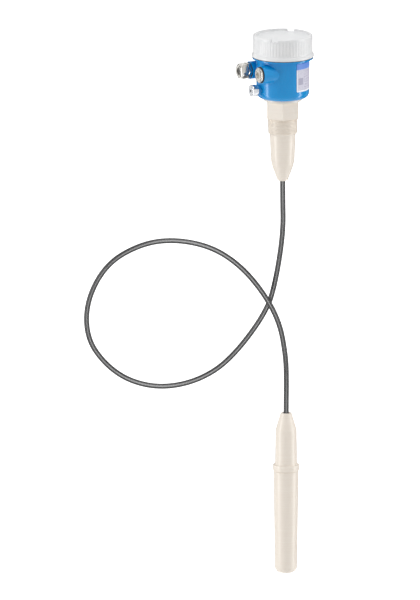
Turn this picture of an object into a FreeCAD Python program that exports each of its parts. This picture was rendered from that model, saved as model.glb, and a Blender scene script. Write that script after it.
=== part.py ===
"""Capacitive level switch with a rope probe, in millimetres.

Z points up. The origin lies on the axis of the process thread, in the plane of the
hexagon's lower face. The front is -Y, and the rope's loop lies in the XZ plane.
"""

import FreeCAD
import Part
import math
import os
import Sketcher
from FreeCAD import Placement, Rotation, Vector
from types import SimpleNamespace

SIZES = {
    # process connection, upwards and downwards from the hexagon's lower face
    "thread_radius": 23.9,
    "thread_taper": 0.03125,
    "thread_length": 22.0,
    "thread_nose": 5.5,
    "thread_nose_step": 2.71,
    "hex_shoulder": 1.1,
    "hex_height": 28.0,
    "collar_overhang": 1.63,
    "collar_height": 4.5,
    "upper_spigot_radius": 13.0,
    "spigot_above_nut": 1.0,
    "lower_spigot_height": 17.5,
    "neck_seal_inset": 4.0,
    "neck_seal_section": 1.35,
    # housing
    "drum_radius": 41.9,
    "drum_height": 63.8,
    "drum_foot_round": 9.0,
    "floor_thickness": 6.0,
    "drum_wall": 3.9,
    "cavity_round": 3.0,
    "flange_overhang": 6.5,
    "flange_thickness": 2.4,
    "neck_wall": 6.3,
    "neck_height": 12.8,
    "head_turn": 26.5,
    "entry_flange_gap": 5.1,
    "entry_spread": 0.4667,
    "entry_boss_reach": 7.1,
    "entry_boss_wall": 4.2,
    "entry_bore_radius": 10.0,
    "entry_blend": 2.0,
    "earth_boss_radius": 8.8,
    "earth_boss_reach": 4.0,
    "earth_boss_height": 15.5,
    "post_inset": 8.0,
    "post_radius": 4.0,
    "post_above_nut": 1.5,
    "post_count": 3,
    "earth_lug_width": 10.0,
    "earth_lug_reach": 8.5,
    "earth_lug_thickness": 7.0,
    "earth_lug_above_insert": 1.5,
    "lock_nut_wall": 4.9,
    "lock_nut_height": 7.0,
    # cover and its seal
    "cover_seal_inset": 0.8,
    "cover_seal_thickness": 1.0,
    "cover_turn": -17.0,
    "cover_height": 35.3,
    "cover_lip_overhang": 2.2,
    "cover_lip_height": 3.6,
    "cover_lip_slope": 2.2,
    "cover_wall": 2.6,
    "cover_edge_round": 2.6,
    "cover_top_thickness": 3.0,
    "cover_rim_width": 5.2,
    "cover_rim_height": 4.4,
    "cover_notch_width": 12.0,
    "cover_thread_gap": 0.5,
    "flute_count": 60,
    "flute_depth": 0.7,
    "flute_width": 2.6,
    "flute_end_gap": 4.2,
    # name plate
    "plate_thickness": 0.5,
    "plate_bottom": 15.1,
    "plate_top_gap": 3.3,
    "plate_start": -58.5,
    "plate_angle": 95.7,
    "plate_corner": 2.0,
    # cable gland, outwards from the boss's face
    "gland_washer_thickness": 1.2,
    "gland_washer_width": 2.5,
    "gland_thread_length": 9.0,
    "gland_shoulder": 2.0,
    "gland_hex_length": 5.2,
    "gland_neck_wall": 1.6,
    "gland_neck_length": 8.6,
    "gland_cable_gap": 1.95,
    "seal_insert_wall": 4.65,
    "gland_seat_depth": 7.0,
    "seal_insert_length": 7.6,
    "cable_radius": 3.25,
    "slip_ring_thickness": 0.8,
    "slip_ring_gap": 1.1,
    "gland_nut_gap": 0.8,
    "gland_nut_wall": 1.6,
    "gland_nut_front": 3.3,
    "gland_mouth_gap": 2.95,
    "gland_nut_nose": 2.4,
    # blanking plug
    "plug_seal_thickness": 1.4,
    "plug_seal_width": 2.9,
    "plug_shoulder": 2.0,
    "plug_head_thickness": 4.0,
    "plug_head_chamfer": 0.8,
    "plug_socket_across_flats": 10.0,
    "plug_socket_depth": 3.0,
    # outer earth terminal
    "earth_clamp_inset": 0.8,
    "earth_clamp_thickness": 2.8,
    "earth_head_overhang": 0.4,
    "earth_head_length": 8.2,
    "earth_head_round": 1.6,
    "earth_socket_radius": 2.0,
    "earth_socket_depth": 4.0,
    "earth_shank_radius": 3.0,
    "earth_shank_length": 6.0,
    # electronics
    "insert_gap": 3.0,
    "insert_height": 14.0,
    "insert_edge_round": 1.5,
    "insert_pin_depth": 8.0,
    "insert_screw_radius": 1.6,
    "insert_screw_head_radius": 3.2,
    "insert_screw_head_height": 2.4,
    "insert_screw_grip": 8.0,
    "block_screw_gap": 5.8,
    "block_depth": 14.0,
    "block_side_gap": 12.0,
    "block_height": 12.0,
    "block_chamfer": 1.5,
    "terminal_count": 5,
    "block_edge": 1.5,
    "terminal_screw_radius": 2.2,
    "terminal_screw_depth": 6.0,
    "terminal_screw_height": 3.6,
    "terminal_wire_radius": 1.6,
    "trimmer_from_leds": 9.0,
    "trimmer_y": -12.0,
    "trimmer_radius": 4.2,
    "trimmer_height": 4.0,
    "trimmer_shaft_radius": 2.0,
    "trimmer_shaft_length": 5.0,
    "trimmer_slot_width": 1.0,
    "switch_from_leds": 9.0,
    "switch_y": 6.0,
    "switch_width": 3.4,
    "switch_length": 4.0,
    "switch_depth": 3.0,
    "switch_travel": 2.0,
    "switch_knob": 2.0,
    "switch_knob_height": 2.4,
    "led_from_lug": 7.5,
    "led_spacing": 10.0,
    "led_radius": 1.5,
    "led_height": 3.0,
    "led_depth": 2.0,
    "inner_earth_wall_gap": 0.65,
    "inner_earth_head_radius": 3.6,
    "inner_earth_head_height": 2.6,
    "inner_earth_shank_radius": 1.9,
    "inner_earth_shank_length": 5.0,
    # probe, downwards from the thread
    "rod_radius": 4.0,
    "rod_flange_overhang": 2.5,
    "rod_flange_thickness": 3.0,
    "rod_pin_step": 1.5,
    "rod_grip": 9.0,
    "contact_nut_wall": 2.4,
    "contact_nut_height": 4.0,
    "sleeve_socket_wall": 6.4,
    "sleeve_draft": 1.8,
    "sleeve_taper_length": 28.6,
    "sleeve_knee_round": 60.0,
    "sleeve_end_wall": 2.4,
    "sleeve_length": 75.1,
    "sleeve_end_round": 1.0,
    "chamber_gap": 0.5,
    "ferrule_wall": 3.25,
    "ferrule_above_mouth": 17.6,
    "rope_radius": 4.2,
    "rope_recess_gap": 1.4,
    "rope_recess_depth": 1.6,
    "rope_grip": 16.0,
    # weight, downwards from the top of its sleeve
    "cone_top_wall": 3.2,
    "cone_length": 27.0,
    "weight_sleeve_draft": 0.8,
    "weight_sleeve_length": 84.0,
    "weight_sleeve_flare": 0.6,
    "weight_spigot_length": 18.0,
    "weight_chamber_head": 4.0,
    "lower_ferrule_top": 17.0,
    "lower_ferrule_length": 50.0,
    "lower_stud_radius": 5.0,
    "lower_stud_grip": 17.0,
    "weight_shoulder": 3.4,
    "weight_collar_overhang": 1.0,
    "weight_collar_height": 7.6,
    "weight_body_radius": 20.0,
    "weight_draft": 2.3,
    "weight_body_length": 177.0,
    "weight_foot_round": 9.0,
    "weight_wall": 6.0,
    "weight_floor": 12.0,
    "core_top_gap": 2.0,
    "core_chamfer": 1.0,
    # clearances
    "fit_gap": 0.1,
    "running_gap": 0.05,
    "moving_gap": 0.3,
    "cut_margin": 1.0,
}

# The rope's route, chosen by hand, from the middle of the sleeve's lower end.
ROPE_ROUTE = [
    (0, 0, 30.5), (0, 0, -27.5), (1.2, 1, -83.5), (-10, 6.5, -161.5), (-25, 7.5, -216.5),
    (-82.5, 6, -293), (-132, 4, -325.5), (-189.5, 3, -338), (-243, 2, -327.5), (-284, 1, -299),
    (-313.5, 0, -256), (-313.5, -1, -196.5), (-280.5, -2, -136.5), (-226, -3, -105),
    (-174, -4, -97), (-116.5, -5, -107.5), (-71, -6.5, -135), (-33, -7.5, -178),
    (-5, -7, -228.5), (5.2, -5, -285.5), (6.3, -1, -325.5), (5.8, 0, -369.5), (5.8, 0, -412.5),
]


class Size:
    """A length as a number, and as the expression that ties it to the sheet."""

    def __init__(self, number, text):
        self.number, self.text = number, text

    def __add__(self, other):
        return Size(self.number + number_of(other), f"({self.text} + {text_of(other)})")

    def __radd__(self, other):
        return Size(other + self.number, f"({other} + {self.text})")

    def __sub__(self, other):
        return Size(self.number - number_of(other), f"({self.text} - {text_of(other)})")

    def __rsub__(self, other):
        return Size(other - self.number, f"({other} - {self.text})")

    def __mul__(self, other):
        return Size(self.number * number_of(other), f"({self.text} * {text_of(other)})")

    __rmul__ = __mul__

    def __truediv__(self, other):
        return Size(self.number / number_of(other), f"({self.text} / {text_of(other)})")

    def __neg__(self):
        return Size(-self.number, f"(-{self.text})")


def number_of(value):
    return value.number if isinstance(value, Size) else value


def text_of(value):
    return value.text if isinstance(value, Size) else str(value)


def cosine(angle):
    return Size(math.cos(math.radians(number_of(angle))), f"cos({text_of(angle)} * 1 deg)")


def sine(angle):
    return Size(math.sin(math.radians(number_of(angle))), f"sin({text_of(angle)} * 1 deg)")


doc = FreeCAD.newDocument("capacitive_level_switch")
sheet = doc.addObject("Spreadsheet::Sheet", "sizes")
for row, (name, value) in enumerate(SIZES.items(), start=1):
    sheet.set(f"A{row}", name)
    sheet.set(f"B{row}", str(value))
    sheet.setAlias(f"B{row}", name)
doc.recompute()
S = SimpleNamespace(**{name: Size(value, f"sizes.{name}") for name, value in SIZES.items()})

# Heights of the seats that several pieces share.
thread_end = -S.thread_length
nose_end = thread_end - S.thread_nose
lower_spigot_end = nose_end - S.lower_spigot_height
collar_top = S.hex_height + S.collar_height
floor_top = collar_top + S.floor_thickness
upper_spigot_top = floor_top + S.lock_nut_height + S.spigot_above_nut
contact_nut_top = upper_spigot_top + S.contact_nut_height
post_top = contact_nut_top + S.post_above_nut
insert_top = post_top + S.insert_height
flange_bottom = collar_top + S.drum_height
flange_top = flange_bottom + S.flange_thickness
neck_top = flange_top + S.neck_height
cover_bottom = flange_top + S.cover_seal_thickness
cover_top = cover_bottom + S.cover_height
cover_floor = cover_top - S.cover_rim_height
earth_axis = collar_top + S.earth_boss_height
lug_bottom = insert_top + S.earth_lug_above_insert
lug_top = lug_bottom + S.earth_lug_thickness
sleeve_end = nose_end - S.sleeve_length
rod_flange_bottom = lower_spigot_end - S.rod_flange_thickness
rod_bottom = rod_flange_bottom - S.rod_grip

# Radii that follow from a wall, a gap or an overhang.
thread_tip = S.thread_radius - S.thread_length * S.thread_taper
hex_across_flats = 2 * (S.thread_radius + S.hex_shoulder)
collar_radius = hex_across_flats / math.sqrt(3) + S.collar_overhang
sleeve_top_radius = thread_tip - S.thread_nose_step
socket_radius = sleeve_top_radius - S.sleeve_socket_wall
lower_spigot_radius = socket_radius - S.fit_gap
neck_seal_radius = S.upper_spigot_radius + S.neck_seal_inset
rod_bore = S.rod_radius + S.fit_gap
cavity_radius = S.drum_radius - S.drum_wall
neck_radius = cavity_radius + S.neck_wall
entry_face = S.drum_radius + S.entry_boss_reach
entry_boss_radius = S.entry_bore_radius + S.entry_boss_wall
entry_side = entry_boss_radius + (S.drum_radius - 2 * entry_boss_radius) * S.entry_spread
entry_axis = flange_bottom - S.entry_flange_gap - entry_boss_radius
earth_boss_face = S.drum_radius + S.earth_boss_reach
insert_radius = cavity_radius - S.insert_gap
post_circle_radius = cavity_radius - S.post_inset
rope_hole_radius = S.rope_radius + S.moving_gap
rope_recess_radius = S.rope_radius + S.rope_recess_gap
rope_socket = S.rope_radius + S.running_gap
ferrule_radius = rope_socket + S.ferrule_wall
chamber_radius = ferrule_radius + S.chamber_gap
pieces = []


def bind(thing, property_name, value):
    """Gives a property its value, tied to the sheet where it is a Size."""
    if isinstance(value, Size):
        thing.setExpression(property_name, value.text)
    else:
        setattr(thing, property_name, value)


def new_body(label):
    piece = doc.addObject("PartDesign::Body", label)
    piece.Label = label
    pieces.append(piece)
    return piece


def new_sketch(piece, role, height=None):
    """A sketch on one of the body's own origin planes, height above it along its normal."""
    sketch = piece.newObject("Sketcher::SketchObject", "profile")
    plane = next(item for item in piece.Origin.OriginFeatures if item.Role == role)
    sketch.AttachmentSupport = [(plane, "")]
    sketch.MapMode = "FlatFace"
    if height is not None:
        bind(sketch, "AttachmentOffset.Base.z", height)
    return sketch


def add_dimensions(sketch, dimensions):
    """Adds (kind, geometry, point, value) dimensions from the sketch's origin."""
    for kind, geometry, point, value in dimensions:
        if kind == "Radius":
            index = sketch.addConstraint(Sketcher.Constraint(kind, geometry, number_of(value)))
        elif abs(number_of(value)) < 1e-9:
            axis = -2 if kind == "DistanceX" else -1
            sketch.addConstraint(Sketcher.Constraint("PointOnObject", geometry, point, axis))
            continue
        else:
            index = sketch.addConstraint(
                Sketcher.Constraint(kind, -1, 1, geometry, point, number_of(value))
            )
        if isinstance(value, Size):
            name = f"{kind}{geometry}"
            sketch.renameConstraint(index, name)
            sketch.setExpression(f"Constraints.{name}", value.text)


def draw_outline(sketch, points):
    """A closed outline of straight lines through (x, y) points."""
    first = sketch.GeometryCount
    spots = [Vector(number_of(x), number_of(y), 0) for x, y in points]
    lines = [Part.LineSegment(a, b) for a, b in zip(spots, spots[1:] + spots[:1])]
    sketch.addGeometry(lines)
    last = first + len(lines) - 1
    joints = [(line, line + 1 if line < last else first) for line in range(first, last + 1)]
    sketch.addConstraint([Sketcher.Constraint("Coincident", a, 2, b, 1) for a, b in joints])
    for line, (x, y) in enumerate(points, start=first):
        add_dimensions(sketch, [("DistanceX", line, 1, x), ("DistanceY", line, 1, y)])


def draw_circle(sketch, x, y, radius):
    centre = Vector(number_of(x), number_of(y), 0)
    index = sketch.addGeometry(Part.Circle(centre, Vector(0, 0, 1), number_of(radius)))
    add_dimensions(
        sketch,
        [("DistanceX", index, 3, x), ("DistanceY", index, 3, y), ("Radius", index, 0, radius)],
    )


def draw_hexagon(sketch, across_flats):
    """A hexagon about the origin with two of its corners on the Y axis."""
    corner = across_flats / math.sqrt(3)
    half = across_flats / 2
    draw_outline(
        sketch,
        [(0, corner), (-half, corner / 2), (-half, -corner / 2),
         (0, -corner), (half, -corner / 2), (half, corner / 2)],
    )


def draw_rectangle(sketch, left, right, bottom, top):
    draw_outline(sketch, [(left, bottom), (right, bottom), (right, top), (left, top)])


def turned(piece, points, cut=False, angle=None):
    """A profile of (radius, height) points turned about the body's Z axis, or cut away."""
    sketch = new_sketch(piece, "XZ_Plane")
    draw_outline(sketch, points)
    kind = "PartDesign::Groove" if cut else "PartDesign::Revolution"
    feature = piece.newObject(kind, "turned")
    feature.Profile = sketch
    feature.ReferenceAxis = (sketch, ["V_Axis"])
    feature.Angle = 360
    if angle is not None:
        bind(feature, "Angle", angle)
    return feature


def padded(piece, sketch, length, back=False):
    """The sketch's outline as a solid, along its plane's normal or back against it."""
    feature = piece.newObject("PartDesign::Pad", "pad")
    feature.Profile = sketch
    bind(feature, "Length", length)
    feature.Reversed = back
    return feature


def pocketed(piece, sketch, depth, along=False):
    """The sketch's outline cut out against its plane's normal, or along it."""
    feature = piece.newObject("PartDesign::Pocket", "pocket")
    feature.Profile = sketch
    bind(feature, "Length", depth)
    feature.Reversed = along
    return feature


def is_circle(radius, height):
    """Tests an edge for being round, of this radius and at this height."""
    def test(edge):
        if not isinstance(edge.Curve, Part.Circle):
            return False
        same_radius = abs(edge.Curve.Radius - number_of(radius)) < 0.01
        return same_radius and abs(edge.Curve.Center.z - number_of(height)) < 0.01
    return test


def is_straight(length):
    """Tests an edge for being straight and of this length."""
    def test(edge):
        return isinstance(edge.Curve, Part.Line) and abs(edge.Length - number_of(length)) < 0.01
    return test


def is_seam(edge):
    """Tests an edge for being neither straight nor round, as where two cylinders meet."""
    return not isinstance(edge.Curve, (Part.Line, Part.Circle))


def break_edges(piece, feature, test, size, chamfer=False):
    """Rounds or chamfers the edges that pass the test."""
    doc.recompute()
    names = [f"Edge{index}" for index, edge in enumerate(feature.Shape.Edges, start=1) if test(edge)]
    kind = "PartDesign::Chamfer" if chamfer else "PartDesign::Fillet"
    edge_break = piece.newObject(kind, "edge_break")
    edge_break.Base = (feature, names)
    bind(edge_break, "Size" if chamfer else "Radius", size)
    return edge_break


def rounded(piece, feature, radius, height, size, chamfer=False):
    """Rounds or chamfers the round edges of this radius at this height."""
    return break_edges(piece, feature, is_circle(radius, height), size, chamfer)


def repeated(piece, features, count):
    """The features again, evenly about the body's Z axis."""
    pattern = piece.newObject("PartDesign::PolarPattern", "pattern")
    pattern.Originals = features
    axis = next(item for item in piece.Origin.OriginFeatures if item.Role == "Z_Axis")
    pattern.Axis = (axis, [""])
    pattern.Angle = 360
    bind(pattern, "Occurrences", count)
    piece.Tip = pattern
    return pattern


def ring(label, inner, outer, bottom, top):
    piece = new_body(label)
    turned(piece, [(inner, bottom), (outer, bottom), (outer, top), (inner, top)])
    return piece


def nut(label, across_flats, hole, bottom, height):
    """A hexagon nut with chamfered corners on both faces."""
    piece = new_body(label)
    sketch = new_sketch(piece, "XY_Plane", bottom)
    draw_hexagon(sketch, across_flats)
    draw_circle(sketch, 0, 0, hole)
    padded(piece, sketch, height)
    cut_corners(piece, across_flats, bottom, -1)
    cut_corners(piece, across_flats, bottom + height, 1)
    return piece


def cut_corners(piece, across_flats, face, side):
    """The cone that takes the sharp corners off a hexagon's face; side 1 is its upper face."""
    flat = across_flats / 2
    corner = across_flats / math.sqrt(3) + S.cut_margin
    drop = (corner - flat) * (-0.5 * side)
    turned(piece, [(flat, face), (corner, face), (corner, face + drop)], cut=True)


def turn_with_head(piece):
    """Turns a piece about the head's axis, to the side that the cable entries face."""
    piece.Placement = Placement(Vector(), Rotation(Vector(0, 0, 1), S.head_turn.number))
    bind(piece, "Placement.Rotation.Angle", S.head_turn)


def seat_on_head_side(piece, reach, across, height):
    """Stands a piece that is modelled along Z on the side of the head that the entries face."""
    facing = Rotation(Vector(0, 0, 1), S.head_turn.number) * Rotation(Vector(0, 1, 0), -90)
    piece.Placement = Placement(Vector(), facing)
    c, s = cosine(S.head_turn), sine(S.head_turn)
    bind(piece, "Placement.Base.x", -(reach * c) - across * s)
    bind(piece, "Placement.Base.y", -(reach * s) + across * c)
    bind(piece, "Placement.Base.z", height)


# Process connection: one turned and milled body with its collar, hexagon and thread.
connection = new_body("process_connection")
hexagon = new_sketch(connection, "XY_Plane")
draw_hexagon(hexagon, hex_across_flats)
padded(connection, hexagon, S.hex_height)
cut_corners(connection, hex_across_flats, S.hex_height * 0, -1)
turned(connection, [
    (0, lower_spigot_end), (lower_spigot_radius, lower_spigot_end),
    (lower_spigot_radius, nose_end), (sleeve_top_radius, nose_end),
    (thread_tip, thread_end), (S.thread_radius, 0), (S.thread_radius, S.hex_height / 2),
    (0, S.hex_height / 2),
])
turned(connection, [
    (0, S.hex_height), (collar_radius, S.hex_height), (collar_radius, collar_top),
    (S.upper_spigot_radius, collar_top), (S.upper_spigot_radius, upper_spigot_top),
    (0, upper_spigot_top),
])
seal_groove_depth = S.neck_seal_section * 2 + S.fit_gap
groove_half = S.neck_seal_section + S.fit_gap
turned(connection, [
    (neck_seal_radius - groove_half, collar_top - seal_groove_depth),
    (neck_seal_radius + groove_half, collar_top - seal_groove_depth),
    (neck_seal_radius + groove_half, collar_top),
    (neck_seal_radius - groove_half, collar_top),
], cut=True)
turned(connection, [
    (0, lower_spigot_end), (rod_bore, lower_spigot_end),
    (rod_bore, upper_spigot_top), (0, upper_spigot_top),
], cut=True)

neck_seal = doc.addObject("Part::Torus", "neck_seal")
bind(neck_seal, "Radius1", neck_seal_radius)
bind(neck_seal, "Radius2", S.neck_seal_section)
bind(neck_seal, "Placement.Base.z", collar_top - S.neck_seal_section - S.fit_gap / 2)
pieces.append(neck_seal)

# Housing: a cast drum with a flange and a neck, two cable bosses and an earthing boss.
flange_radius = S.drum_radius + S.flange_overhang
housing = new_body("housing")
drum = turned(housing, [
    (0, collar_top), (S.drum_radius, collar_top), (S.drum_radius, flange_bottom),
    (flange_radius, flange_bottom), (flange_radius, flange_top),
    (neck_radius, flange_top), (neck_radius, neck_top), (0, neck_top),
])
rounded(housing, drum, S.drum_radius, collar_top, S.drum_foot_round)
bosses = new_sketch(housing, "YZ_Plane", -entry_face)
for side in (-1, 1):
    draw_circle(bosses, entry_side * side, entry_axis, entry_boss_radius)
boss_pad = padded(housing, bosses, entry_face)
break_edges(housing, boss_pad, is_seam, S.entry_blend)
earth_boss = new_sketch(housing, "YZ_Plane", -earth_boss_face)
draw_circle(earth_boss, 0, earth_axis, S.earth_boss_radius)
padded(housing, earth_boss, earth_boss_face - cavity_radius * 0.8)
cavity_top = neck_top + S.cut_margin
turned(housing, [
    (0, floor_top), (cavity_radius - S.cavity_round, floor_top),
    (cavity_radius, floor_top + S.cavity_round), (cavity_radius, cavity_top), (0, cavity_top),
], cut=True)
spigot_hole = new_sketch(housing, "XY_Plane", floor_top)
draw_circle(spigot_hole, 0, 0, S.upper_spigot_radius + S.fit_gap)
pocketed(housing, spigot_hole, S.floor_thickness)
entry_bores = new_sketch(housing, "YZ_Plane", -entry_face)
for side in (-1, 1):
    draw_circle(entry_bores, entry_side * side, entry_axis, S.entry_bore_radius)
pocketed(housing, entry_bores, entry_face, along=True)
earth_hole = new_sketch(housing, "YZ_Plane", -earth_boss_face)
draw_circle(earth_hole, 0, earth_axis, S.earth_shank_radius + S.running_gap)
pocketed(housing, earth_hole, S.earth_shank_length + S.moving_gap, along=True)
lug = new_sketch(housing, "XY_Plane", lug_bottom)
draw_rectangle(
    lug, -(cavity_radius + S.cut_margin), S.earth_lug_reach - cavity_radius,
    -S.earth_lug_width / 2, S.earth_lug_width / 2,
)
padded(housing, lug, S.earth_lug_thickness)
inner_earth_x = S.inner_earth_head_radius + S.inner_earth_wall_gap - cavity_radius
lug_hole = new_sketch(housing, "XY_Plane", lug_top)
draw_circle(lug_hole, inner_earth_x, 0, S.inner_earth_shank_radius + S.running_gap)
pocketed(housing, lug_hole, S.inner_earth_shank_length + S.moving_gap)
post = new_sketch(housing, "XY_Plane", floor_top)
draw_circle(post, post_circle_radius, 0, S.post_radius)
post_pad = padded(housing, post, post_top - floor_top)
post_hole = new_sketch(housing, "XY_Plane", post_top)
draw_circle(post_hole, post_circle_radius, 0, S.insert_screw_radius + S.running_gap)
post_pocket = pocketed(housing, post_hole, S.insert_screw_grip + S.moving_gap)
repeated(housing, [post_pad, post_pocket], S.post_count)
turn_with_head(housing)

lock_nut_hole = S.upper_spigot_radius + S.fit_gap
lock_nut = nut(
    "housing_lock_nut", 2 * (lock_nut_hole + S.lock_nut_wall), lock_nut_hole,
    floor_top, S.lock_nut_height,
)
turn_with_head(lock_nut)

# Cover: a moulded cap with a lip, a fluted side and a rim with two notches for a wrench.
cover = new_body("cover")
cover_bore = neck_radius + S.cover_thread_gap
cover_side_radius = cover_bore + S.cover_wall
cover_lip_radius = cover_side_radius + S.cover_lip_overhang
rim_inner = cover_side_radius - S.cover_rim_width
cover_ceiling = cover_floor - S.cover_top_thickness
lip_top = cover_bottom + S.cover_lip_height
side_bottom = lip_top + S.cover_lip_slope
shell = turned(cover, [
    (cover_bore, cover_bottom), (cover_lip_radius, cover_bottom),
    (cover_lip_radius, lip_top), (cover_side_radius, side_bottom),
    (cover_side_radius, cover_top), (rim_inner, cover_top), (rim_inner, cover_floor),
    (0, cover_floor), (0, cover_ceiling), (cover_bore, cover_ceiling),
])
rounded(cover, shell, cover_side_radius, cover_top, S.cover_edge_round)
notches = new_sketch(cover, "XY_Plane", cover_top)
reach = cover_side_radius + S.cut_margin
draw_rectangle(notches, -S.cover_notch_width / 2, S.cover_notch_width / 2, -reach, reach)
pocketed(cover, notches, S.cover_rim_height)
flute = new_sketch(cover, "XY_Plane", cover_top - S.flute_end_gap)
draw_outline(flute, [
    (cover_side_radius - S.flute_depth, 0),
    (cover_side_radius + S.flute_depth, -S.flute_width),
    (cover_side_radius + S.flute_depth, S.flute_width),
])
flute_length = cover_top - side_bottom - S.flute_end_gap - S.cut_margin
flute_pocket = pocketed(cover, flute, flute_length)
repeated(cover, [flute_pocket], S.flute_count)
cover.Placement = Placement(Vector(), Rotation(Vector(0, 0, 1), S.cover_turn.number))
bind(cover, "Placement.Rotation.Angle", S.cover_turn)

ring(
    "cover_seal", neck_radius + S.moving_gap, cover_lip_radius - S.cover_seal_inset,
    flange_top, cover_bottom,
)

# Name plate: a thin curved plate on the drum's right-hand side.
plate = new_body("name_plate")
plate_inner = S.drum_radius + S.running_gap
plate_outer = plate_inner + S.plate_thickness
plate_foot = collar_top + S.plate_bottom
plate_head = flange_bottom - S.plate_top_gap
plate_solid = turned(plate, [
    (plate_inner, plate_foot), (plate_outer, plate_foot),
    (plate_outer, plate_head), (plate_inner, plate_head),
], angle=S.plate_angle)
break_edges(plate, plate_solid, is_straight(S.plate_thickness), S.plate_corner)
plate.Placement = Placement(Vector(), Rotation(Vector(0, 0, 1), S.plate_start.number))
bind(plate, "Placement.Rotation.Angle", S.plate_start)

# Cable gland: its pieces are modelled outwards along Z from the face of the boss.
gland_hex_end = S.gland_washer_thickness + S.gland_hex_length
gland_neck_end = gland_hex_end + S.gland_neck_length
gland_seat = gland_neck_end - S.gland_seat_depth
insert_end = gland_seat + S.seal_insert_length
slip_ring_end = insert_end + S.slip_ring_thickness
gland_nut_start = gland_hex_end + S.gland_nut_gap
gland_nut_end = slip_ring_end + S.gland_nut_front
entry_thread_radius = S.entry_bore_radius - S.fit_gap
gland_hex_flats = 2 * (S.entry_bore_radius + S.gland_shoulder)
seal_insert_radius = S.cable_radius + S.seal_insert_wall
gland_seat_radius = seal_insert_radius + S.fit_gap
gland_neck_radius = gland_seat_radius + S.gland_neck_wall
cable_hole_radius = S.cable_radius + S.gland_cable_gap
mouth_radius = S.cable_radius + S.gland_mouth_gap
nut_bore = gland_neck_radius + S.moving_gap
nut_flat = nut_bore + S.gland_nut_wall

washer_hole = S.entry_bore_radius + S.fit_gap
gland_washer = ring(
    "gland_washer", washer_hole, washer_hole + S.gland_washer_width, 0, S.gland_washer_thickness
)
gland_body = new_body("gland_body")
gland_hex = new_sketch(gland_body, "XY_Plane", S.gland_washer_thickness)
draw_hexagon(gland_hex, gland_hex_flats)
padded(gland_body, gland_hex, S.gland_hex_length)
cut_corners(gland_body, gland_hex_flats, gland_hex_end, 1)
turned(gland_body, [
    (0, -S.gland_thread_length), (entry_thread_radius, -S.gland_thread_length),
    (entry_thread_radius, gland_hex_end - S.cut_margin),
    (gland_neck_radius, gland_hex_end - S.cut_margin),
    (gland_neck_radius, gland_neck_end), (0, gland_neck_end),
])
turned(gland_body, [
    (0, -S.gland_thread_length), (cable_hole_radius, -S.gland_thread_length),
    (cable_hole_radius, gland_seat), (gland_seat_radius, gland_seat),
    (gland_seat_radius, gland_neck_end), (0, gland_neck_end),
], cut=True)
seal_insert = ring(
    "gland_seal_insert", S.cable_radius, seal_insert_radius, gland_seat, insert_end
)
slip_ring = ring(
    "gland_slip_ring", mouth_radius, nut_bore - S.slip_ring_gap, insert_end, slip_ring_end
)
gland_nut = new_body("gland_nut")
nut_hex = new_sketch(gland_nut, "XY_Plane", gland_nut_start)
draw_hexagon(nut_hex, nut_flat * 2)
padded(gland_nut, nut_hex, gland_nut_end - gland_nut_start)
nut_corner = nut_flat * 2 / math.sqrt(3) + S.cut_margin
turned(gland_nut, [
    (nut_flat - S.gland_nut_nose / 2, gland_nut_end), (nut_corner, gland_nut_end),
    (nut_corner, gland_nut_end - S.gland_nut_nose * 2), (nut_flat, gland_nut_end - S.gland_nut_nose),
], cut=True)
turned(gland_nut, [
    (0, gland_nut_start), (nut_bore, gland_nut_start), (nut_bore, slip_ring_end),
    (mouth_radius, slip_ring_end), (mouth_radius, gland_nut_end),
    (0, gland_nut_end),
], cut=True)
for piece in (gland_washer, gland_body, seal_insert, slip_ring, gland_nut):
    seat_on_head_side(piece, entry_face, entry_side, entry_axis)

# Blanking plug of the nearer entry, with its seal ring.
plug_head_radius = S.entry_bore_radius + S.plug_shoulder
plug_seal = ring(
    "plug_seal", washer_hole, washer_hole + S.plug_seal_width, 0, S.plug_seal_thickness
)
plug = new_body("blanking_plug")
plug_top = S.plug_seal_thickness + S.plug_head_thickness
plug_solid = turned(plug, [
    (0, -S.gland_thread_length), (entry_thread_radius, -S.gland_thread_length),
    (entry_thread_radius, S.plug_seal_thickness), (plug_head_radius, S.plug_seal_thickness),
    (plug_head_radius, plug_top), (0, plug_top),
])
rounded(plug, plug_solid, plug_head_radius, plug_top, S.plug_head_chamfer, chamfer=True)
socket = new_sketch(plug, "XY_Plane", plug_top)
draw_hexagon(socket, S.plug_socket_across_flats)
pocketed(plug, socket, S.plug_socket_depth)
for piece in (plug_seal, plug):
    seat_on_head_side(piece, entry_face, -entry_side, entry_axis)

# Outer earth terminal: a clamp washer under a round-headed screw.
clamp_hole = S.earth_shank_radius + S.fit_gap
clamp_radius = S.earth_boss_radius - S.earth_clamp_inset
earth_head_radius = clamp_radius + S.earth_head_overhang
earth_clamp = ring("earth_clamp", clamp_hole, clamp_radius, 0, S.earth_clamp_thickness)
earth_screw = new_body("earth_screw")
earth_head_end = S.earth_clamp_thickness + S.earth_head_length
earth_solid = turned(earth_screw, [
    (0, -S.earth_shank_length), (S.earth_shank_radius, -S.earth_shank_length),
    (S.earth_shank_radius, S.earth_clamp_thickness), (earth_head_radius, S.earth_clamp_thickness),
    (earth_head_radius, earth_head_end), (0, earth_head_end),
])
rounded(earth_screw, earth_solid, earth_head_radius, earth_head_end, S.earth_head_round)
earth_socket = new_sketch(earth_screw, "XY_Plane", earth_head_end)
draw_circle(earth_socket, 0, 0, S.earth_socket_radius)
pocketed(earth_screw, earth_socket, S.earth_socket_depth)
for piece in (earth_clamp, earth_screw):
    seat_on_head_side(piece, earth_boss_face, 0 * entry_side, earth_axis)

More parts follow.
